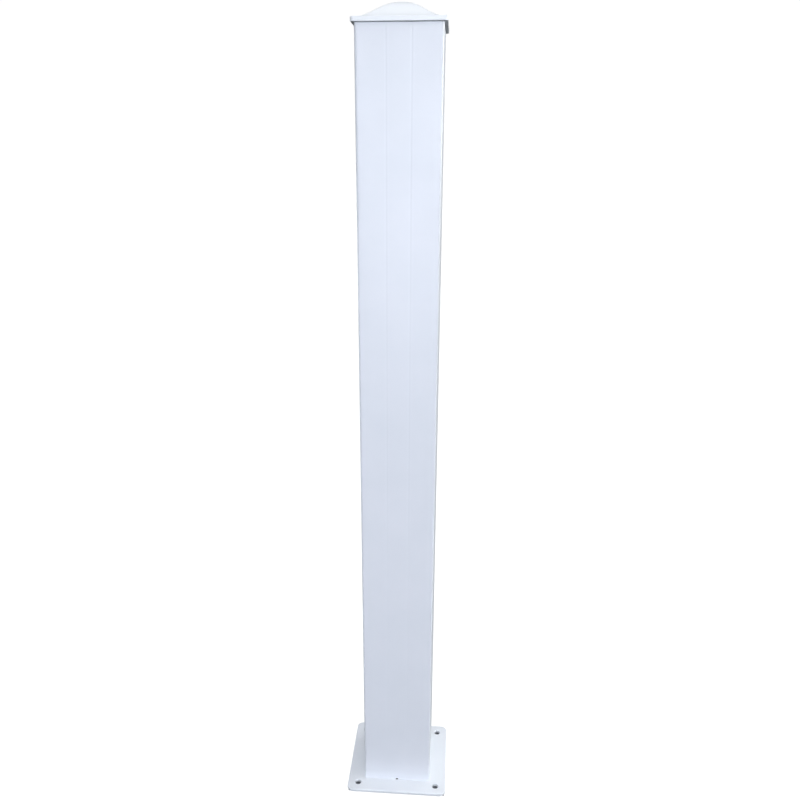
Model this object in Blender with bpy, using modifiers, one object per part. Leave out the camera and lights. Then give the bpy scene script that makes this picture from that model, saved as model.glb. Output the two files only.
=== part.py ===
"""Square aluminium stair post: a base plate, a hollow post tube and a push-in ogee cap.

The origin is on the floor under the middle of the post, +Z is up and the front face looks along -Y.
"""

import math

import bmesh
import bpy

# Driving dimensions in metres

# Post tube, a 4 inch square extrusion 42 inches long
POST_SIDE = 0.1016
POST_LENGTH = 1.0668
POST_WALL = 0.0025
POST_CORNER_RADIUS = 0.0032
POST_INNER_RADIUS = 0.001
WEEP_DIAMETER = 0.004            # half-round drain notch at the foot of the front wall

# Base plate, 6 inches square with the post above
PLATE_MARGIN = 0.0254            # how far the plate stands out past the post on each side
PLATE_THICKNESS = 0.0048
PLATE_CORNER_RADIUS = 0.0095
PLATE_EDGE_ROUND = 0.001
BOLT_HOLE_DIAMETER = 0.0095
BOLT_EDGE_DISTANCE = 0.0159      # from the plate's edges to the middle of a hole

# Cap
CAP_OVERHANG = 0.004             # how far the rim stands out past the post
CAP_RIM_HEIGHT = 0.0056
CAP_CORNER_RADIUS = 0.0035
CAP_EDGE_ROUND = 0.0008
CAP_RISE = 0.021                 # height of the ogee above the rim
CAP_HIP_RADIUS = 0.005           # plan radius of the ogee's four soft hips
OGEE_FULLNESS = 1.1              # above 1, the flanks of the ogee stand further out
CAP_WALL = 0.0025
SPIGOT_DEPTH = 0.022
SPIGOT_WALL = 0.002
SPIGOT_CLEARANCE = 0.0005        # between the spigot and the inside of the tube, on each side
SPIGOT_CORNER_EXTRA = 0.0015     # keeps the spigot's corners clear of the tube's inner corners

CONTACT_GAP = 0.0003             # between pieces that touch

# Facets
CORNER_SEGMENTS = 6
OGEE_STEPS = 14
HOLE_SEGMENTS = 24
WEEP_SEGMENTS = 24
EDGE_SEGMENTS = 3
ROUNDEST_CORNER = 0.9            # most of a square's half-width that its corner radius takes

WELD_DISTANCE = 0.00001

# Worked out from the driving dimensions
PLATE_SIDE = POST_SIDE + 2 * PLATE_MARGIN
BOLT_OFFSET = PLATE_SIDE / 2 - BOLT_EDGE_DISTANCE
POST_FOOT_Z = PLATE_THICKNESS + CONTACT_GAP
POST_TOP_Z = POST_FOOT_Z + POST_LENGTH
CAP_SEAT_Z = POST_TOP_Z + CONTACT_GAP
CAP_SIDE = POST_SIDE + 2 * CAP_OVERHANG


def remove_everything():
    """Empty the scene of whatever it opened with."""
    for old in list(bpy.data.objects):
        bpy.data.objects.remove(old, do_unlink=True)


def make_collection(name):
    """A collection under the scene's own one."""
    collection = bpy.data.collections.new(name)
    bpy.context.scene.collection.children.link(collection)
    return collection


def make_material(name, color, roughness, metallic=0.0):
    """A Principled material in one plain colour."""
    material = bpy.data.materials.new(name)
    material.use_nodes = True
    shader = material.node_tree.nodes["Principled BSDF"]
    shader.inputs["Base Color"].default_value = (*color, 1.0)
    shader.inputs["Roughness"].default_value = roughness
    shader.inputs["Metallic"].default_value = metallic
    material.diffuse_color = (*color, 1.0)
    return material


def rounded_square(half, radius):
    """Points of a square of half-width `half` with round corners, anticlockwise from the +X side."""
    points = []
    for corner in range(4):
        turn = math.radians(45 + 90 * corner)
        inset = math.sqrt(2) * (half - radius)
        centre_x = inset * math.cos(turn)
        centre_y = inset * math.sin(turn)
        for step in range(CORNER_SEGMENTS + 1):
            angle = turn + math.radians(90) * (step / CORNER_SEGMENTS - 0.5)
            points.append((centre_x + radius * math.cos(angle), centre_y + radius * math.sin(angle)))
    return points


def circle(centre_x, centre_y, radius, segments):
    """Points of a circle, anticlockwise."""
    points = []
    for step in range(segments):
        angle = math.radians(360) * step / segments
        points.append((centre_x + radius * math.cos(angle), centre_y + radius * math.sin(angle)))
    return points


def extruded_outline(name, outlines, thickness, collection):
    """A flat 2D curve, the first outline filled and the others left open, made a closed mesh.

    The curve lies at z = 0 and stands half its thickness to each side.
    """
    curve = bpy.data.curves.new(name, "CURVE")
    curve.dimensions = "2D"
    curve.fill_mode = "BOTH"
    curve.extrude = thickness / 2
    for outline in outlines:
        spline = curve.splines.new("POLY")
        spline.points.add(len(outline) - 1)
        for point, (x, y) in zip(spline.points, outline):
            point.co = (x, y, 0, 1)
        spline.use_cyclic_u = True
    drawing = bpy.data.objects.new(name + "_outline", curve)
    collection.objects.link(drawing)

    depsgraph = bpy.context.evaluated_depsgraph_get()
    mesh = bpy.data.meshes.new_from_object(drawing.evaluated_get(depsgraph))
    mesh.name = name
    bm = bmesh.new()
    bm.from_mesh(mesh)
    bmesh.ops.remove_doubles(bm, verts=bm.verts, dist=WELD_DISTANCE)
    bmesh.ops.recalc_face_normals(bm, faces=bm.faces)
    bm.to_mesh(mesh)
    bm.free()

    solid = bpy.data.objects.new(name, mesh)
    solid.matrix_world = drawing.matrix_world
    collection.objects.link(solid)
    bpy.data.objects.remove(drawing, do_unlink=True)
    bpy.data.curves.remove(curve)
    return solid


def loft(name, start_z, stations, end_z, collection):
    """A closed solid through round-cornered squares, each given as (half-width, corner radius, z).

    The first and last squares close to a point on the Z axis, at start_z and at end_z.
    """
    bm = bmesh.new()
    rings = []
    for half, radius, z in stations:
        rings.append([bm.verts.new((x, y, z)) for x, y in rounded_square(half, radius)])
    for lower, upper in zip(rings, rings[1:]):
        for index in range(len(lower)):
            following = (index + 1) % len(lower)
            bm.faces.new((lower[index], lower[following], upper[following], upper[index]))
    for ring, z in ((rings[0], start_z), (rings[-1], end_z)):
        tip = bm.verts.new((0, 0, z))
        for index in range(len(ring)):
            bm.faces.new((ring[index], ring[(index + 1) % len(ring)], tip))
    bmesh.ops.recalc_face_normals(bm, faces=bm.faces)
    mesh = bpy.data.meshes.new(name)
    bm.to_mesh(mesh)
    bm.free()
    solid = bpy.data.objects.new(name, mesh)
    collection.objects.link(solid)
    return solid


def cut(solid, cutter):
    """Take the cutter out of the solid."""
    boolean = solid.modifiers.new("cut_" + cutter.name, "BOOLEAN")
    boolean.operation = "DIFFERENCE"
    boolean.solver = "EXACT"
    boolean.object = cutter


def round_edges(solid, width):
    """Round the sharp edges of a solid."""
    bevel = solid.modifiers.new("rounded_edges", "BEVEL")
    bevel.width = width
    bevel.segments = EDGE_SEGMENTS
    bevel.limit_method = "ANGLE"
    bevel.angle_limit = math.radians(40)
    bevel.miter_outer = "MITER_ARC"


def cylinder_cutter(name, radius, depth, location, rotation, segments, collection):
    """A round cutter, shown as wire and left out of renders."""
    bpy.ops.mesh.primitive_cylinder_add(
        vertices=segments, radius=radius, depth=depth, location=location, rotation=rotation)
    cutter = bpy.context.object
    cutter.name = name
    for holder in list(cutter.users_collection):
        holder.objects.unlink(cutter)
    collection.objects.link(cutter)
    cutter.display_type = "WIRE"
    cutter.hide_render = True
    return cutter


def finish(solid, material, parent):
    """Give a piece its material, smooth shading with crisp edges, and its parent."""
    solid.data.materials.append(material)
    solid.data.shade_smooth()
    solid.data.set_sharp_from_angle(angle=math.radians(30))
    solid.parent = parent


def make_base_plate(parts, parent):
    """The square foot plate with its four bolt holes."""
    outlines = [rounded_square(PLATE_SIDE / 2, PLATE_CORNER_RADIUS)]
    for side_x in (-1, 1):
        for side_y in (-1, 1):
            centre_x = side_x * BOLT_OFFSET
            centre_y = side_y * BOLT_OFFSET
            outlines.append(circle(centre_x, centre_y, BOLT_HOLE_DIAMETER / 2, HOLE_SEGMENTS))
    plate = extruded_outline("base_plate", outlines, PLATE_THICKNESS, parts)
    plate.location.z = PLATE_THICKNESS / 2
    round_edges(plate, PLATE_EDGE_ROUND)
    powder_coat = make_material("base_plate_white", (0.86, 0.88, 0.90), 0.38)
    finish(plate, powder_coat, parent)
    return plate


def make_post_tube(parts, cutters, parent):
    """The hollow square post with a drain notch at the foot of its front wall."""
    inner_half = POST_SIDE / 2 - POST_WALL
    outlines = [
        rounded_square(POST_SIDE / 2, POST_CORNER_RADIUS),
        rounded_square(inner_half, POST_INNER_RADIUS),
    ]
    tube = extruded_outline("post_tube", outlines, POST_LENGTH, parts)
    tube.location.z = POST_FOOT_Z + POST_LENGTH / 2

    wall_middle = -(POST_SIDE / 2 - POST_WALL / 2)
    notch = cylinder_cutter(
        "weep_notch", WEEP_DIAMETER / 2, 2 * POST_WALL, (0, wall_middle, POST_FOOT_Z),
        (math.radians(90), 0, 0), WEEP_SEGMENTS, cutters)
    cut(tube, notch)
    powder_coat = make_material("post_tube_white", (0.86, 0.89, 0.93), 0.34)
    finish(tube, powder_coat, parent)
    return tube


def ogee_z(half, foot_half):
    """Height of the ogee where its square has this half-width, above the cap's seat.

    Half a cosine wave from the middle to the foot: a round top, a steep flank and a hollow foot.
    """
    share = (half / foot_half) ** OGEE_FULLNESS
    return CAP_RIM_HEIGHT + CAP_RISE * (1 + math.cos(math.pi * share)) / 2


def ogee_stations(start_half, start_radius, foot_half, drop):
    """Stations from one square to nearly the middle of an ogee lowered by `drop`."""
    stations = [(start_half, start_radius, ogee_z(start_half, foot_half) - drop)]
    for step in range(1, OGEE_STEPS):
        half = start_half * (1 - step / OGEE_STEPS)
        radius = min(CAP_HIP_RADIUS, ROUNDEST_CORNER * half)
        stations.append((half, radius, ogee_z(half, foot_half) - drop))
    return stations


def make_post_cap(parts, parent):
    """The cap: a rim that overhangs the post, an ogee above it and a spigot below, hollow inside."""
    rim_half = CAP_SIDE / 2
    foot_half = rim_half - CAP_EDGE_ROUND
    spigot_half = POST_SIDE / 2 - POST_WALL - SPIGOT_CLEARANCE
    spigot_radius = POST_INNER_RADIUS + SPIGOT_CORNER_EXTRA
    hollow_half = spigot_half - SPIGOT_WALL
    hollow_radius = SPIGOT_CORNER_EXTRA

    inside = [(hollow_half, hollow_radius, -SPIGOT_DEPTH)]
    inside += ogee_stations(hollow_half, hollow_radius, foot_half, CAP_WALL)
    inside.reverse()
    outside = [
        (spigot_half, spigot_radius, -SPIGOT_DEPTH),
        (spigot_half, spigot_radius, 0),
        (foot_half, CAP_CORNER_RADIUS, 0),
        (rim_half, CAP_CORNER_RADIUS, CAP_EDGE_ROUND),
        (rim_half, CAP_CORNER_RADIUS, CAP_RIM_HEIGHT - CAP_EDGE_ROUND),
    ]
    outside += ogee_stations(foot_half, CAP_CORNER_RADIUS, foot_half, 0)

    top_z = ogee_z(0, foot_half)
    cap = loft("post_cap", top_z - CAP_WALL, inside + outside, top_z, parts)
    cap.location.z = CAP_SEAT_Z
    powder_coat = make_material("post_cap_white", (0.88, 0.91, 0.94), 0.36)
    finish(cap, powder_coat, parent)
    return cap


def main():
    remove_everything()
    parts = make_collection("stair_post")
    cutters = make_collection("cutters")
    frame = bpy.data.objects.new("stair_post_frame", None)
    frame.empty_display_size = POST_SIDE
    parts.objects.link(frame)
    make_base_plate(parts, frame)
    make_post_tube(parts, cutters, frame)
    make_post_cap(parts, frame)


main()
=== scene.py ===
import math

import bmesh
import bpy
import numpy as np
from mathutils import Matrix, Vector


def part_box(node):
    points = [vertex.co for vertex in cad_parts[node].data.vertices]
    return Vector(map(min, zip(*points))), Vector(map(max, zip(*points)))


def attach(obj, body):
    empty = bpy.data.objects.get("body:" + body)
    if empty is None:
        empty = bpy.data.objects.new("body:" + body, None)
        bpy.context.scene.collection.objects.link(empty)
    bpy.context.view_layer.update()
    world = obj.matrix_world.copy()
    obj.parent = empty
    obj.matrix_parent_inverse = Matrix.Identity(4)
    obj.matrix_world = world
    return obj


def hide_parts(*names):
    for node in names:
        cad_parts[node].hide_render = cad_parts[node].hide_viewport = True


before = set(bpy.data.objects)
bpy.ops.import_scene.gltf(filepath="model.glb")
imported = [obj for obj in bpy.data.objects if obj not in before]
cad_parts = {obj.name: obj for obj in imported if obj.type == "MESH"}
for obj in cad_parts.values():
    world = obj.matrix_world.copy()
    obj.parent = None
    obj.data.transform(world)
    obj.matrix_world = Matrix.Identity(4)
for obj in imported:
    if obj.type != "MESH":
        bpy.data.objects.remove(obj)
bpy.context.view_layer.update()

mm = 0.001

# the solids' own boxes, which every dressed piece keeps to
plateLow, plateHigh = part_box("base_plate")
tubeLow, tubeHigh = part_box("post_tube")
capLow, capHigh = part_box("post_cap")
# the underside of the cap's rim: as far above the tube as the tube is above the plate
capSeat = tubeHigh.z + (tubeLow.z - plateHigh.z)


def linearFromHex(code):
    # sRGB channel c to linear: c / 12.92 below 0.04045, else ((c + 0.055) / 1.055) to the power 2.4
    channels = [int(code[at:at + 2], 16) / 255 for at in (1, 3, 5)]
    linear = [c / 12.92 if c <= 0.04045 else ((c + 0.055) / 1.055) ** 2.4 for c in channels]
    return (*linear, 1.0)


# surfaces

def meshFromGrids(name, grids):
    # each grid is (points, closedAlong, closedAround); four neighbouring points make one face,
    # and a closed direction joins its last row or column to its first
    verts = []
    faces = []
    start = 0
    for points, closedAlong, closedAround in grids:
        rows, columns = points.shape[:2]
        index = start + np.arange(rows * columns).reshape(rows, columns)
        if closedAlong:
            index = np.concatenate([index, index[:1]], axis=0)
        if closedAround:
            index = np.concatenate([index, index[:, :1]], axis=1)
        quads = np.stack([index[:-1, :-1], index[:-1, 1:], index[1:, 1:], index[1:, :-1]], axis=-1)
        verts.append(points.reshape(-1, 3))
        faces.append(quads.reshape(-1, 4))
        start += rows * columns
    mesh = bpy.data.meshes.new(name)
    mesh.from_pydata(np.concatenate(verts), [], np.concatenate(faces))
    piece = bpy.data.objects.new(name, mesh)
    bpy.context.scene.collection.objects.link(piece)
    return piece


def closeUp(piece, weld=0.002 * mm, sharpAngle=32):
    # merge seams and poles, drop what collapsed, turn the faces outwards, shade smooth
    bm = bmesh.new()
    bm.from_mesh(piece.data)
    bmesh.ops.remove_doubles(bm, verts=bm.verts, dist=weld)
    bmesh.ops.dissolve_degenerate(bm, edges=bm.edges, dist=weld)
    bmesh.ops.recalc_face_normals(bm, faces=bm.faces)
    openEdges = sum(1 for edge in bm.edges if not edge.is_manifold)
    bm.to_mesh(piece.data)
    bm.free()
    piece.data.shade_smooth()
    piece.data.set_sharp_from_angle(angle=math.radians(sharpAngle))
    print("%s: %d faces, %d open edges" % (piece.name, len(piece.data.polygons), openEdges))


def squareColumns(along, cornerSteps):
    # one quarter of a round-cornered square, turned four times: the flat runs through the shares
    # 'along' (-1 to 1) at arc angle 0, then the corner's arc runs from 0 to 90 degrees at share 1
    arc = np.linspace(0, math.pi / 2, cornerSteps + 1)[1:-1]
    share = np.concatenate([along, np.ones(cornerSteps - 1)])
    angle = np.concatenate([np.zeros(len(along)), arc])
    side = np.repeat(np.arange(4), len(share))
    return np.tile(share, 4), np.tile(angle, 4), side * math.pi / 2


def squareRing(columns, half, radius, proud=0.0):
    # x is half - radius + (radius + proud) cos angle, y is share (half - radius) + (radius + proud)
    # sin angle, and both are turned by the side's quarter turn; half, radius and proud may each
    # have a value per row
    share, angle, turn = columns
    x = half - radius + (radius + proud) * np.cos(angle)
    y = share * (half - radius) + (radius + proud) * np.sin(angle)
    return x * np.cos(turn) - y * np.sin(turn), x * np.sin(turn) + y * np.cos(turn)


def quarterArc(steps):
    # angles of a quarter circle, ends included
    return np.linspace(0, math.pi / 2, steps + 1)


# base plate

plateSizes = {
    "cornerRadius": 9.5 * mm,      # plan corners
    "edgeRound": 1.1 * mm,         # filed and coated edges, top and bottom
    "holeRadius": 4.75 * mm,
    "holeInset": 15.9 * mm,        # hole centre from the plate's edges
    "holeChamfer": 0.45 * mm,      # deburred rim, softened by the coat
    "cornerSteps": 16,
    "flatSteps": 14,
    "edgeSteps": 6,
    "chamferSteps": 4,
    # rows of the sheet, as shares of the way from the outline to the hole's rim
    "sheetShares": (0.0, 0.25, 0.5, 0.72, 0.88, 0.96, 1.0),
}


def makePlate(sizes):
    # each quarter is a ring of cells between a bolt hole and the quarter's outline, mirrored to the
    # other three, and one band round the outside is a half-round-edged strip
    half = plateHigh.x
    thick = plateHigh.z - plateLow.z
    edge = sizes["edgeRound"]
    inner = half - edge
    radius = sizes["cornerRadius"] - edge
    centre = half - sizes["holeInset"]

    # outline of a quarter: flat, plan corner, flat, then back along the two middle lines
    flat = np.linspace(0, inner - radius, sizes["flatSteps"] + 1)
    arc = quarterArc(sizes["cornerSteps"])
    bendX = inner - radius + radius * np.cos(arc)[1:-1]
    bendY = inner - radius + radius * np.sin(arc)[1:-1]
    outerX = np.concatenate([np.full(len(flat), inner), bendX, flat[::-1]])
    outerY = np.concatenate([flat, bendY, np.full(len(flat), inner)])
    back = np.linspace(0, inner, sizes["flatSteps"] + 1)
    outlineX = np.concatenate([outerX, np.zeros(len(back) - 1), back[1:-1]])
    outlineY = np.concatenate([outerY, back[::-1][1:], np.zeros(len(back) - 2)])

    # rows: straight lines from the outline to the hole's rim, point = outline (1 - reach) + rim
    # reach, then over the hole's rounded chamfer, down its wall and back
    away = np.arctan2(outlineY - centre, outlineX - centre)
    rim = sizes["holeRadius"] + sizes["holeChamfer"]
    reach = np.array(sizes["sheetShares"])[:, None]
    sheetX = outlineX * (1 - reach) + (centre + rim * np.cos(away)) * reach
    sheetY = outlineY * (1 - reach) + (centre + rim * np.sin(away)) * reach
    turn = quarterArc(sizes["chamferSteps"])[1:, None]
    lipRadius = rim - sizes["holeChamfer"] * np.sin(turn)
    lipDrop = sizes["holeChamfer"] * (1 - np.cos(turn))
    lipX = centre + lipRadius * np.cos(away)
    lipY = centre + lipRadius * np.sin(away)
    quarterX = np.concatenate([sheetX, lipX, lipX[::-1], sheetX[::-1]])
    quarterY = np.concatenate([sheetY, lipY, lipY[::-1], sheetY[::-1]])
    top = np.full(len(sheetX), thick)
    lipZ = thick - lipDrop[:, 0]
    rowZ = np.concatenate([top, lipZ, thick - lipZ[::-1], thick - top])
    quarterZ = np.repeat(rowZ[:, None], quarterX.shape[1], axis=1) + plateLow.z
    grids = []
    for signX in (1, -1):
        for signY in (1, -1):
            quarter = np.stack([signX * quarterX, signY * quarterY, quarterZ], axis=-1)
            grids.append((quarter, False, True))

    # band: a quarter round, the side and a quarter round, carried along the four outer outlines
    bend = quarterArc(sizes["edgeSteps"])
    proud = edge * np.sin(bend)
    drop = edge * (1 - np.cos(bend))
    out = np.concatenate([proud, proud[::-1]])[:, None]
    bandZ = np.concatenate([thick - drop, drop[::-1]])[:, None]
    normalAngle = np.concatenate([np.zeros(len(flat)), arc[1:-1], np.full(len(flat), math.pi / 2)])
    bandX = outerX + out * np.cos(normalAngle)
    bandY = outerY + out * np.sin(normalAngle)
    bandZ = bandZ + plateLow.z + 0 * bandX
    for signX in (1, -1):
        for signY in (1, -1):
            strip = np.stack([signX * bandX, signY * bandY, bandZ], axis=-1)
            grids.append((strip, False, False))
    plate = meshFromGrids("foot_plate", grids)
    closeUp(plate)
    return plate


footPlate = makePlate(plateSizes)


# post tube

tubeSizes = {
    "cornerRadius": 3.2 * mm,
    "wall": 2.5 * mm,
    "innerRadius": 1.0 * mm,
    "endRound": 0.3 * mm,          # deburred saw cut
    "notchRadius": 2.0 * mm,       # half-round drain notch, front wall
    "ribOffset": 14.7 * mm,        # read-through of the inner ribs, from the face's middle
    "ribWidth": 1.3 * mm,
    "ribDepth": 0.09 * mm,
    "lipHeight": 0.8,              # of the rib line's depth, the raised lip beside it
    "lipOffset": 0.9,              # of the rib line's width, from its middle to the lip's
    "dish": 0.22 * mm,             # the faces are hollow by this much, as drawn from the die
    "wave": 0.05 * mm,             # slow stretch waviness
    "waveLength": 370 * mm,
    # radians of the wave's swing, for each radian of the side's turn and from a face's middle to
    # its edge
    "wavePhases": (1.7, 3.0),
    "fade": 0.125,                 # of half the flat, where the relief fades before the corners
    "footBand": 12 * mm,           # the rows crowd this far up from the foot
    "footRows": 9,
    "footCrowding": 1.5,
    "rows": 60,
    "flatColumns": 33,
    "fineColumns": 31,             # more of them across each rib line and the notch
    "ribReach": 5 * mm,            # how far to both sides the fine columns go
    "notchReach": 2.6 * mm,
    "cornerSteps": 10,
}


def makeTube(sizes):
    half = tubeHigh.x
    radius = sizes["cornerRadius"]
    run = half - radius
    # even columns over the flat, and more of them across each rib line and the drain notch
    even = np.linspace(-run, run, sizes["flatColumns"])
    near = np.linspace(-1, 1, sizes["fineColumns"])
    byRib = near * sizes["ribReach"]
    byNotch = near * sizes["notchReach"]
    places = np.concatenate([even, byRib + sizes["ribOffset"], byRib - sizes["ribOffset"], byNotch])
    along = np.unique(np.round(places / run, 5))
    share, angle, turn = columns = squareColumns(along, sizes["cornerSteps"])
    across = share * run

    def reliefAt(height):
        # inward dish of a parabola across the flat, plus two fine grooves with a raised lip beside
        # each, plus a slow wave along the length; all fade out before the corners
        onFlat = np.clip((1 - np.abs(share)) / sizes["fade"], 0, 1)
        dish = -sizes["dish"] * (1 - share ** 2)
        lines = np.zeros(len(share))
        for sign in (-1, 1):
            off = (across - sign * sizes["ribOffset"]) / sizes["ribWidth"]
            lip = sizes["lipHeight"] * np.exp(-(off - sizes["lipOffset"]) ** 2)
            lines += sizes["ribDepth"] * (lip - np.exp(-off ** 2))
        # the wave is at another point of its swing on each side, and shifts across each face
        phase = turn * sizes["wavePhases"][0] + sizes["wavePhases"][1] * share
        wave = sizes["wave"] * np.sin(height * 2 * math.pi / sizes["waveLength"] + phase)
        return (dish + lines + wave) * onFlat

    # heights: crowded at the foot, then even
    foot = tubeLow.z
    top = tubeHigh.z
    bandTop = foot + sizes["footBand"]
    band = np.linspace(0, 1, sizes["footRows"]) ** sizes["footCrowding"]
    heights = np.linspace(bandTop, top - sizes["endRound"], sizes["rows"])[1:]

    # the foot line rises over the drain notch as a half circle, in the front wall only, the one
    # whose quarter turn is 3 pi / 2
    notch = np.where(turn > 1.25 * math.pi, across, 1.0)
    rise = np.sqrt(np.clip(sizes["notchRadius"] ** 2 - notch ** 2, 0, None))

    def wallRows(height, proud):
        x, y = squareRing(columns, half, radius, proud)
        return np.stack([x, y, height + 0 * x], axis=-1)

    outer = []
    for part in band:
        height = foot + rise + (bandTop - foot - rise) * part
        outer.append(wallRows(height, reliefAt(height)))
    for height in heights:
        outer.append(wallRows(height, reliefAt(height)))
    x, y = squareRing(columns, half, radius, reliefAt(top) - sizes["endRound"])
    outer.append(np.stack([x, y, top + 0 * x], axis=-1))

    # the inside: the same columns on the inner square, from the top down to the notch's inner edge
    innerHalf = half - sizes["wall"]
    innerX, innerY = squareRing(columns, innerHalf, sizes["innerRadius"])
    inner = [np.stack([innerX, innerY, top + 0 * innerX], axis=-1)]
    for height in (0.75 * top, 0.5 * top, 0.25 * top, bandTop):
        inner.append(np.stack([innerX, innerY, height + 0 * innerX], axis=-1))
    inner.append(np.stack([innerX, innerY, foot + rise], axis=-1))
    tube = meshFromGrids("post_square_tube", [(np.stack(outer + inner), True, True)])
    closeUp(tube)
    return tube


postTube = makeTube(tubeSizes)


# weld at the foot

weldSizes = {
    "leg": 0.5 * mm,               # how far the bead climbs the tube and spreads on the plate
    "ripplePitch": 1.9 * mm,
    "rippleDepth": 0.02 * mm,
    "hollow": 0.10,                # of the leg, how far the middle of the bead sinks in
    "gapHalf": 2.8 * mm,           # left open at the drain notch
    "taper": 1.5 * mm,
    "slowRipple": 7.3 * mm,
    "slowShare": 0.4,              # of the ripple's depth
    "thinnest": 0.02,              # of the leg, at both ends
    "buried": 0.35 * mm,           # into tube and plate, so that no slit shows
    "stepsAlong": 1500,
    "arcSteps": 8,
}


def makeWeld(sizes):
    # a small fillet carried round the foot of the tube, starting and stopping beside the notch.
    # section: a shallow arc between a point up the tube and a point out on the plate, scaled by
    # 1 + ripple sin(2 pi length / pitch) and by a taper at both ends
    half = tubeHigh.x
    radius = tubeSizes["cornerRadius"]
    run = half - radius
    lengths = np.array([run, math.pi / 2 * radius] + [2 * run, math.pi / 2 * radius] * 3 + [run])
    ends = np.concatenate([[0], np.cumsum(lengths)])
    s = np.linspace(sizes["gapHalf"], ends[-1] - sizes["gapHalf"], sizes["stepsAlong"])
    stretch = np.clip(np.searchsorted(ends, s, side="right") - 1, 0, len(lengths) - 1)
    inStretch = s - ends[stretch]
    quarter = (stretch + 1) // 2
    isArc = stretch % 2 == 1
    # angle of the outward normal; the walk starts at the middle of the front face and goes to +X
    cornerTurn = -math.pi / 2 + quarter * math.pi / 2
    normal = cornerTurn + np.where(isArc, inStretch / radius - math.pi / 2, 0)
    # the first stretch starts at the middle of its flat, the others at a corner
    startShift = np.where(stretch == 0, 0, -run)
    tangentWay = np.where(isArc, 0, inStretch + startShift)
    tangentX, tangentY = -np.sin(cornerTurn), np.cos(cornerTurn)
    flatX = half * np.cos(cornerTurn) + tangentWay * tangentX
    flatY = half * np.sin(cornerTurn) + tangentWay * tangentY
    hub = cornerTurn - math.pi / 4
    hubX = math.sqrt(2) * run * np.cos(hub)
    hubY = math.sqrt(2) * run * np.sin(hub)
    wallX = np.where(isArc, hubX + radius * np.cos(normal), flatX)
    wallY = np.where(isArc, hubY + radius * np.sin(normal), flatY)

    fromEnd = np.minimum(s - s[0], s[-1] - s) / sizes["taper"]
    taper = np.sqrt(np.clip(1 - (1 - np.clip(fromEnd, 0, 1)) ** 2, 0, 1))
    size = sizes["leg"] * np.clip(taper, sizes["thinnest"], 1)
    ripple = sizes["rippleDepth"] * taper * (
        np.sin(2 * math.pi * s / sizes["ripplePitch"])
        + sizes["slowShare"] * np.sin(2 * math.pi * s / sizes["slowRipple"] + 1))
    t = np.linspace(0, 1, sizes["arcSteps"] + 1)[:, None]
    # the visible face: straight from (0, leg) to (leg, 0), sunk a little in the middle
    push = (ripple - sizes["hollow"] * size) * np.sin(math.pi * t) * math.sqrt(0.5)
    out = size * t + push
    up = size * (1 - t) + push
    inside = np.full((2, len(s)), -sizes["buried"])
    out = np.concatenate([out, inside])
    up = np.concatenate([up, np.zeros((1, len(s))), up[:1]])
    x = wallX + out * np.cos(normal)
    y = wallY + out * np.sin(normal)
    z = plateHigh.z + up
    grid = np.stack([x, y, z], axis=-1)
    # both ends close to a point
    first = np.repeat(grid[:, :1].mean(axis=0, keepdims=True), len(grid), axis=0)
    last = np.repeat(grid[:, -1:].mean(axis=0, keepdims=True), len(grid), axis=0)
    bead = meshFromGrids("foot_weld", [(np.concatenate([first, grid, last], axis=1), True, False)])
    closeUp(bead)
    return bead


footWeld = makeWeld(weldSizes)


# cap

capSizes = {
    "rimHeight": 5.6 * mm,
    "cornerRadius": 3.5 * mm,
    "edgeRound": 0.9 * mm,
    "hipRadius": 5.0 * mm,
    "fullness": 1.1,
    "wall": 2.5 * mm,
    "spigotWall": 2.0 * mm,
    "spigotClearance": 0.5 * mm,
    "spigotCorner": 2.5 * mm,
    "hollowCorner": 1.5 * mm,
    "hipRun": 8.0 * mm,            # over this, the corner's radius grows into the hip's
    "vaultSteps": 24,
    "edgeSteps": 5,
    "cornerSteps": 14,
    "flatSteps": 10,
    "ogeeSteps": 60,
}


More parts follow.
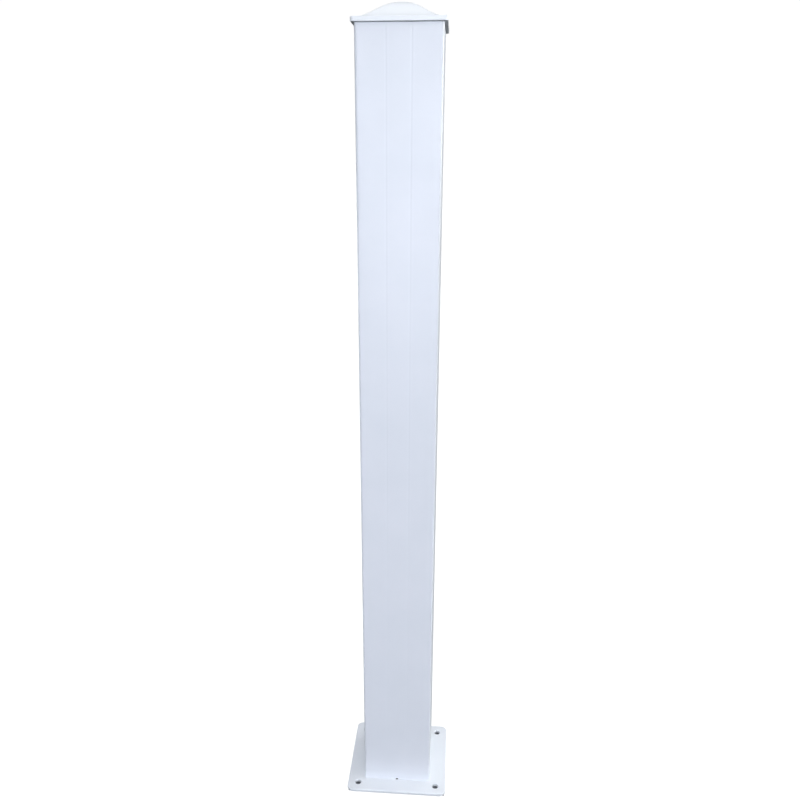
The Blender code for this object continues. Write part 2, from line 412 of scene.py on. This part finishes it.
def makeCap(sizes):
    # one profile from the middle of the vault round to the crown, each point of it carried round a
    # round-cornered square; the heights are above the underside of the rim
    edge = sizes["edgeRound"]
    footHalf = capHigh.x - edge
    rise = capHigh.z - capSeat - sizes["rimHeight"]
    spigotHalf = tubeHigh.x - tubeSizes["wall"] - sizes["spigotClearance"]
    hollowHalf = spigotHalf - sizes["spigotWall"]

    def ogee(half):
        # height = rim + rise (1 + cos(pi (half / foot) ^ fullness)) / 2
        way = math.pi * (half / footHalf) ** sizes["fullness"]
        return sizes["rimHeight"] + rise * (1 + np.cos(way)) / 2

    # inside: from the middle of the vault out to the hollow's wall, then down to the spigot's end
    vault = hollowHalf * np.linspace(0, 1, sizes["vaultSteps"] + 1)
    insideHalf = np.append(vault, hollowHalf)
    insideRadius = np.append(np.minimum(sizes["hipRadius"], vault), sizes["hollowCorner"])
    insideRadius[-2] = sizes["hollowCorner"]
    insideHeight = np.append(ogee(vault) - sizes["wall"], capLow.z - capSeat)

    # outside: up the spigot, over the rim and up the ogee to the crown
    bend = quarterArc(sizes["edgeSteps"])
    crown = footHalf * np.linspace(1, 0, sizes["ogeeSteps"] + 1)[1:]
    blend = np.clip((footHalf - crown) / sizes["hipRun"], 0, 1)
    hip = sizes["cornerRadius"] + (sizes["hipRadius"] - sizes["cornerRadius"]) * blend
    outsideHalf = np.concatenate([
        [spigotHalf, spigotHalf],
        footHalf + edge * np.sin(bend),
        footHalf + edge * np.cos(bend),
        crown])
    outsideRadius = np.concatenate([
        [sizes["spigotCorner"]] * 2,
        np.full(2 * len(bend), sizes["cornerRadius"]),
        np.minimum(hip, crown)])
    outsideHeight = np.concatenate([
        [capLow.z - capSeat, 0],
        edge * (1 - np.cos(bend)),
        sizes["rimHeight"] - edge * (1 - np.sin(bend)),
        ogee(crown)])

    half = np.concatenate([insideHalf, outsideHalf])[:, None]
    radius = np.concatenate([insideRadius, outsideRadius])[:, None]
    height = np.concatenate([insideHeight, outsideHeight])[:, None]
    columns = squareColumns(np.linspace(-1, 1, sizes["flatSteps"] + 1), sizes["cornerSteps"])
    x, y = squareRing(columns, half, radius)
    z = capSeat + height + 0 * x
    cap = meshFromGrids("ogee_cap", [(np.stack([x, y, z], axis=-1), False, True)])
    closeUp(cap)
    return cap


ogeeCap = makeCap(capSizes)


# materials

def addNode(tree, kind, links=None, **settings):
    # one node with its settings; links maps an input to a socket or to a plain value
    node = tree.nodes.new(kind)
    for key, value in settings.items():
        setattr(node, key, value)
    for socket, source in (links or {}).items():
        if isinstance(source, bpy.types.NodeSocket):
            tree.links.new(source, node.inputs[socket])
        else:
            node.inputs[socket].default_value = source
    return node


coatSizes = {
    "cloud": 70 * mm,              # patches of thicker and thinner film
    "peel": 1.6 * mm,              # pits and hills of the orange peel
    "dieLineWidth": 1.1 * mm,
    "dieLineLength": 600 * mm,
    "sheen": 25 * mm,              # patches of more and less gloss
    "noiseRange": (0.3, 0.7),      # where nearly all of a noise's values lie
    "notchShadeEdge": 0.05 * mm,        # how far past the notch's radius the painted shade reaches
    "footShadeReach": 28 * mm,          # painted shade at the foot reaches this far up from the tube's foot
    # painted shade tones: at the tube's foot, in the drain notch and under the cap's rim
    "footShadeTone": "#E0E3E9",
    "notchShadeTone": "#26282A",
    "undersideShadeTone": "#B8BBBE",
    "undersideShadeReach": 0.1 * mm,         # painted shade under the cap's rim reaches this far up from its underside
}


def powderCoatedAluminium(name, coat, peelHeight, dieLines, gloss, undersideShadeBelow=-1.0, footShadeTop=0.0):
    # polyester powder coat baked on aluminium: a satin white skin with a fine orange peel, so
    # highlights are soft and slightly broken; the extruded tube also shows faint die lines along it
    material = bpy.data.materials.new(name)
    material.use_nodes = True
    tree = material.node_tree
    tree.nodes.clear()
    place = addNode(tree, "ShaderNodeTexCoord").outputs["Object"]
    level = addNode(tree, "ShaderNodeSeparateXYZ", {0: place})
    noiseLow, noiseHigh = coatSizes["noiseRange"]

    # tone: cloudy film thickness, lighter and darker by a hair
    cloud = addNode(tree, "ShaderNodeTexNoise", {
        "Vector": place, "Scale": 1 / coatSizes["cloud"], "Detail": 3.0})
    cloudTone = addNode(tree, "ShaderNodeMapRange", {
        "Value": cloud.outputs["Fac"], "From Min": noiseLow, "From Max": noiseHigh})
    tone = addNode(tree, "ShaderNodeMix", {
        0: cloudTone.outputs[0], 6: linearFromHex(coat[0]), 7: linearFromHex(coat[1])},
        data_type="RGBA")

    if footShadeTop:
        # painted shade in the angle at the foot takes the edge off the white: the share of grey is
        # 1 at the tube's foot and falls smoothly to 0 at the height footShadeTop
        footShadeShare = addNode(tree, "ShaderNodeMapRange", {
            "Value": level.outputs["Z"], "From Min": tubeLow.z, "From Max": footShadeTop,
            "To Min": 1.0, "To Max": 0.0}, interpolation_type="SMOOTHSTEP")
        tone = addNode(tree, "ShaderNodeMix", {
            0: footShadeShare.outputs[0], 6: tone.outputs[2], 7: linearFromHex(coatSizes["footShadeTone"])},
            data_type="RGBA")

    # painted shade in the drain notch: a near-black tone that makes the notch read as a dark dot.
    # The mask is 1 where the distance from the notch's middle line, in the plane of the front face,
    # is under the notch's radius and the point is within the wall
    fromNotch = addNode(tree, "ShaderNodeVectorMath", {
        0: place, 1: (0.0, tubeLow.y, tubeLow.z)}, operation="SUBTRACT")
    flat = addNode(tree, "ShaderNodeVectorMath", {
        0: fromNotch.outputs[0], 1: (1.0, 0.0, 1.0)}, operation="MULTIPLY")
    away = addNode(tree, "ShaderNodeVectorMath", {0: flat.outputs[0]}, operation="LENGTH")
    near = addNode(tree, "ShaderNodeMath", {
        0: away.outputs["Value"], 1: tubeSizes["notchRadius"] + coatSizes["notchShadeEdge"]},
        operation="LESS_THAN")
    depth = addNode(tree, "ShaderNodeSeparateXYZ", {0: fromNotch.outputs[0]})
    inWall = addNode(tree, "ShaderNodeMath", {
        0: depth.outputs["Y"], 1: tubeSizes["wall"] / 2, 2: tubeSizes["wall"] / 2},
        operation="COMPARE")
    notchShade = addNode(tree, "ShaderNodeMath", {
        0: near.outputs[0], 1: inWall.outputs[0]}, operation="MULTIPLY")
    tone = addNode(tree, "ShaderNodeMix", {
        0: notchShade.outputs[0], 6: tone.outputs[2], 7: linearFromHex(coatSizes["notchShadeTone"])},
        data_type="RGBA")

    # painted shade under the cap's rim: faces below this height are greyer
    below = addNode(tree, "ShaderNodeMath", {
        0: level.outputs["Z"], 1: undersideShadeBelow}, operation="LESS_THAN")
    tone = addNode(tree, "ShaderNodeMix", {
        0: below.outputs[0], 6: tone.outputs[2], 7: linearFromHex(coatSizes["undersideShadeTone"])},
        data_type="RGBA")

    # orange peel: pits and hills about 15 microns high
    peel = addNode(tree, "ShaderNodeTexNoise", {
        "Vector": place, "Scale": 1 / coatSizes["peel"], "Detail": 2.0})
    height = addNode(tree, "ShaderNodeMath", {
        0: peel.outputs["Fac"], 1: peelHeight}, operation="MULTIPLY")
    if dieLines:
        # die lines: noise that is narrow across the faces and drawn out along them
        acrossScale, alongScale = 1 / coatSizes["dieLineWidth"], 1 / coatSizes["dieLineLength"]
        stretched = addNode(tree, "ShaderNodeMapping", {
            "Vector": place, "Scale": (acrossScale, acrossScale, alongScale)})
        lines = addNode(tree, "ShaderNodeTexNoise", {
            "Vector": stretched.outputs[0], "Scale": 1.0, "Detail": 2.0})
        height = addNode(tree, "ShaderNodeMath", {
            0: lines.outputs["Fac"], 1: dieLines, 2: height.outputs[0]}, operation="MULTIPLY_ADD")
    bump = addNode(tree, "ShaderNodeBump", {
        "Height": height.outputs[0], "Distance": 1.0, "Strength": 1.0})

    # gloss: handling and film thickness change the sheen in patches
    sheen = addNode(tree, "ShaderNodeTexNoise", {
        "Vector": place, "Scale": 1 / coatSizes["sheen"], "Detail": 4.0})
    rough = addNode(tree, "ShaderNodeMapRange", {
        "Value": sheen.outputs["Fac"], "From Min": noiseLow, "From Max": noiseHigh,
        "To Min": gloss[0], "To Max": gloss[1]})

    shader = addNode(tree, "ShaderNodeBsdfPrincipled", {
        "Base Color": tone.outputs[2], "Roughness": rough.outputs[0], "Normal": bump.outputs[0],
        "IOR": 1.5, "Metallic": 0.0})
    out = addNode(tree, "ShaderNodeOutputMaterial", {"Surface": shader.outputs[0]})
    out.is_active_output = True
    return material


plateCoat = powderCoatedAluminium(
    "powder_coated_aluminium_plate", coat=("#E9ECF0", "#EEF0F3"),
    peelHeight=0.016 * mm, dieLines=0.0, gloss=(0.34, 0.44))
tubeCoat = powderCoatedAluminium(
    "powder_coated_aluminium_extrusion", coat=("#E8EBF1", "#ECEEF4"),
    peelHeight=0.012 * mm, dieLines=0.006 * mm, gloss=(0.32, 0.42),
    footShadeTop=tubeLow.z + coatSizes["footShadeReach"])
capCoat = powderCoatedAluminium(
    "powder_coated_aluminium_casting", coat=("#F4F6F9", "#F8FAFB"),
    peelHeight=0.018 * mm, dieLines=0.0, gloss=(0.32, 0.42),
    undersideShadeBelow=capSeat + coatSizes["undersideShadeReach"])
print("materials made")

for piece, node, coat, slot in (
        (footPlate, "base_plate", plateCoat, "base_plate_powder_coat"),
        (postTube, "post_tube", tubeCoat, "post_tube_powder_coat"),
        (ogeeCap, "post_cap", capCoat, "post_cap_powder_coat")):
    piece.data.materials.append(coat)
    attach(piece, "root")
    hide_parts(node)
footWeld.data.materials.append(tubeCoat)
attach(footWeld, "root")


# camera, fitted to the photograph's outlines

cameraSizes = {
    "place": (0.0696, -1.0248, 0.9379),
    "yawDegrees": 4.503,           # turned to the left
    "pitchDegrees": 19.985,        # looking down
    "focalPixels": 784.05,         # of the 800-pixel frame
    "framePixels": 800,
    "centrePixel": (392.5, 434.9), # where the lens axis meets the picture
    "sensor": 36.0,
}


def makeCamera(sizes):
    data = bpy.data.cameras.new("camera")
    data.sensor_width = sizes["sensor"]
    data.lens = sizes["focalPixels"] / sizes["framePixels"] * sizes["sensor"]
    data.shift_x = 0.5 - sizes["centrePixel"][0] / sizes["framePixels"]
    data.shift_y = sizes["centrePixel"][1] / sizes["framePixels"] - 0.5
    camera = bpy.data.objects.new("camera", data)
    camera.location = sizes["place"]
    camera.rotation_euler = (
        math.radians(90 - sizes["pitchDegrees"]), 0, math.radians(sizes["yawDegrees"]))
    bpy.context.scene.collection.objects.link(camera)
    bpy.context.scene.camera = camera


makeCamera(cameraSizes)


# studio

studioSizes = {
    "floorHalf": 60.0,
    "floorDrop": 0.2 * mm,
    "floorSteps": 9,
    "domeRadius": 55.0,
    "domeFoot": -0.05,             # radians; the dome starts a little below the floor
    "domeRows": 17,
    "domeColumns": 48,
    "shadeInset": 2.0 * mm,
    "skyLow": (0.01, 0.01, 0.01),
    "skyHigh": (0.58, 0.61, 0.67),
    "skyFade": (0.4, 0.6),         # heights of the direction looked in, between dark and pale
}

# name: place, what it's aimed at, width and height, watts, colour
softboxes = {
    "front_softbox": ((0.4, -3.2, 1.3), (0, 0, 0.8), (1.6, 1.6), 23.5, (0.87, 0.97, 1.0)),
    "low_front_softbox": ((0.2, -2.8, 0.7), (0, 0, 0.5), (1.6, 1.2), 38, (0.82, 0.86, 1.0)),
    "high_front_softbox": ((0.3, -2.6, 2.6), (0, 0, 0.8), (1.4, 1.4), 8, (1.0, 0.96, 0.92)),
    "near_right_softbox": ((1.8, -1.2, 1.6), (0, 0, 0.6), (1.2, 1.2), 6, (1.0, 0.95, 0.89)),
    "right_softbox": ((5.0, -0.2, 1.25), (0, 0, 0.7), (1.6, 0.5), 80, (0.96, 1.0, 0.96)),
    "left_softbox": ((-2.4, -0.4, 0.15), (0, 0, 0.6), (1.0, 0.4), 7, (1.0, 0.99, 0.96)),
    "ceiling_softbox": ((0.0, 0.0, 3.0), (0, 0, 0), (1.2, 1.2), 10, (1.0, 1.0, 0.98)),
    "back_right_softbox": ((4.0, 3.2, 1.35), (0, 0, 0.6), (1.4, 0.6), 110, (0.94, 0.98, 1.0)),
    "back_left_softbox": ((-4.0, 3.0, 0.2), (0, 0, 0.6), (1.4, 0.6), 55, (0.94, 0.98, 1.0)),
}


def stageMaterial(name, base, glow):
    # matt surface of the stage: its own tone plus an even glow of white light
    material = bpy.data.materials.new(name)
    material.use_nodes = True
    shader = material.node_tree.nodes["Principled BSDF"]
    shader.inputs["Base Color"].default_value = linearFromHex(base)
    shader.inputs["Roughness"].default_value = 1.0
    shader.inputs["Specular IOR Level"].default_value = 0.0
    shader.inputs["Emission Color"].default_value = (1, 1, 1, 1)
    shader.inputs["Emission Strength"].default_value = glow
    return material


def seenByCameraOnly(thing):
    # the white ground and backdrop neither light the post nor shade it
    thing.visible_diffuse = False
    thing.visible_glossy = False
    thing.visible_transmission = False
    thing.visible_shadow = False


def makeStage(sizes):
    # a floor of (x, y, -drop), a dome of radius (cos up cos round, cos up sin round, sin up) and,
    # under the plate, a dark sheet: no light gets to the ground there, so the bolt holes look dark
    reach = np.linspace(-sizes["floorHalf"], sizes["floorHalf"], sizes["floorSteps"])
    x, y = np.meshgrid(reach, reach)
    level = 0 * x - sizes["floorDrop"]
    floor = meshFromGrids("floor", [(np.stack([x, y, level], axis=-1), False, False)])
    up, around = np.meshgrid(
        np.linspace(sizes["domeFoot"], math.pi / 2, sizes["domeRows"]),
        np.linspace(0, 2 * math.pi, sizes["domeColumns"] + 1)[:-1])
    dome = sizes["domeRadius"] * np.stack(
        [np.cos(up) * np.cos(around), np.cos(up) * np.sin(around), np.sin(up)], axis=-1)
    backdrop = meshFromGrids("backdrop", [(dome, True, False)])
    closeUp(backdrop)
    paper = stageMaterial("white_paper_sweep", "#808080", 1.0)
    for sheet in (floor, backdrop):
        sheet.data.materials.append(paper)
        seenByCameraOnly(sheet)

    reach = np.linspace(-1, 1, 2) * (plateHigh.x - sizes["shadeInset"])
    x, y = np.meshgrid(reach, reach)
    shade = meshFromGrids("shade_under_plate", [
        (np.stack([x, y, 0 * x - sizes["floorDrop"] / 2], axis=-1), False, False)])
    shade.data.materials.append(stageMaterial("shaded_ground", "#6A6C70", 0.0))


def makeSky(sizes):
    # dark up to some 30 degrees above the horizon, so the underside of the cap stays in shade, and
    # pale above: the share of pale rises from 0 to 1 with the height of the direction looked in
    world = bpy.data.worlds.new("studio")
    bpy.context.scene.world = world
    world.use_nodes = True
    tree = world.node_tree
    tree.nodes.clear()
    way = addNode(tree, "ShaderNodeTexCoord").outputs["Generated"]
    split = addNode(tree, "ShaderNodeSeparateXYZ", {0: way})
    fadeLow, fadeHigh = sizes["skyFade"]
    share = addNode(tree, "ShaderNodeMapRange", {
        "Value": split.outputs["Z"], "From Min": fadeLow, "From Max": fadeHigh})
    mix = addNode(tree, "ShaderNodeMix", {
        0: share.outputs[0], 6: sizes["skyLow"] + (1.0,), 7: sizes["skyHigh"] + (1.0,)},
        data_type="RGBA")
    light = addNode(tree, "ShaderNodeBackground", {"Color": mix.outputs[2], "Strength": 1.0})
    addNode(tree, "ShaderNodeOutputWorld", {"Surface": light.outputs[0]})


def makeSoftbox(name, place, aim, size, power, colour):
    # the lamp shines down its own -Z: tilt from straight down, then turn to face the aim
    data = bpy.data.lights.new(name, "AREA")
    data.shape = "RECTANGLE"
    data.size, data.size_y = size
    data.energy = power
    data.color = colour
    box = bpy.data.objects.new(name, data)
    box.location = place
    way = np.array(aim) - np.array(place)
    tilt = math.atan2(math.hypot(way[0], way[1]), -way[2])
    box.rotation_euler = (tilt, 0, math.atan2(way[1], way[0]) - math.pi / 2)
    bpy.context.scene.collection.objects.link(box)


makeStage(studioSizes)
makeSky(studioSizes)
for name, settings in softboxes.items():
    makeSoftbox(name, *settings)
bpy.context.scene.view_settings.view_transform = "Standard"
print("studio lit")
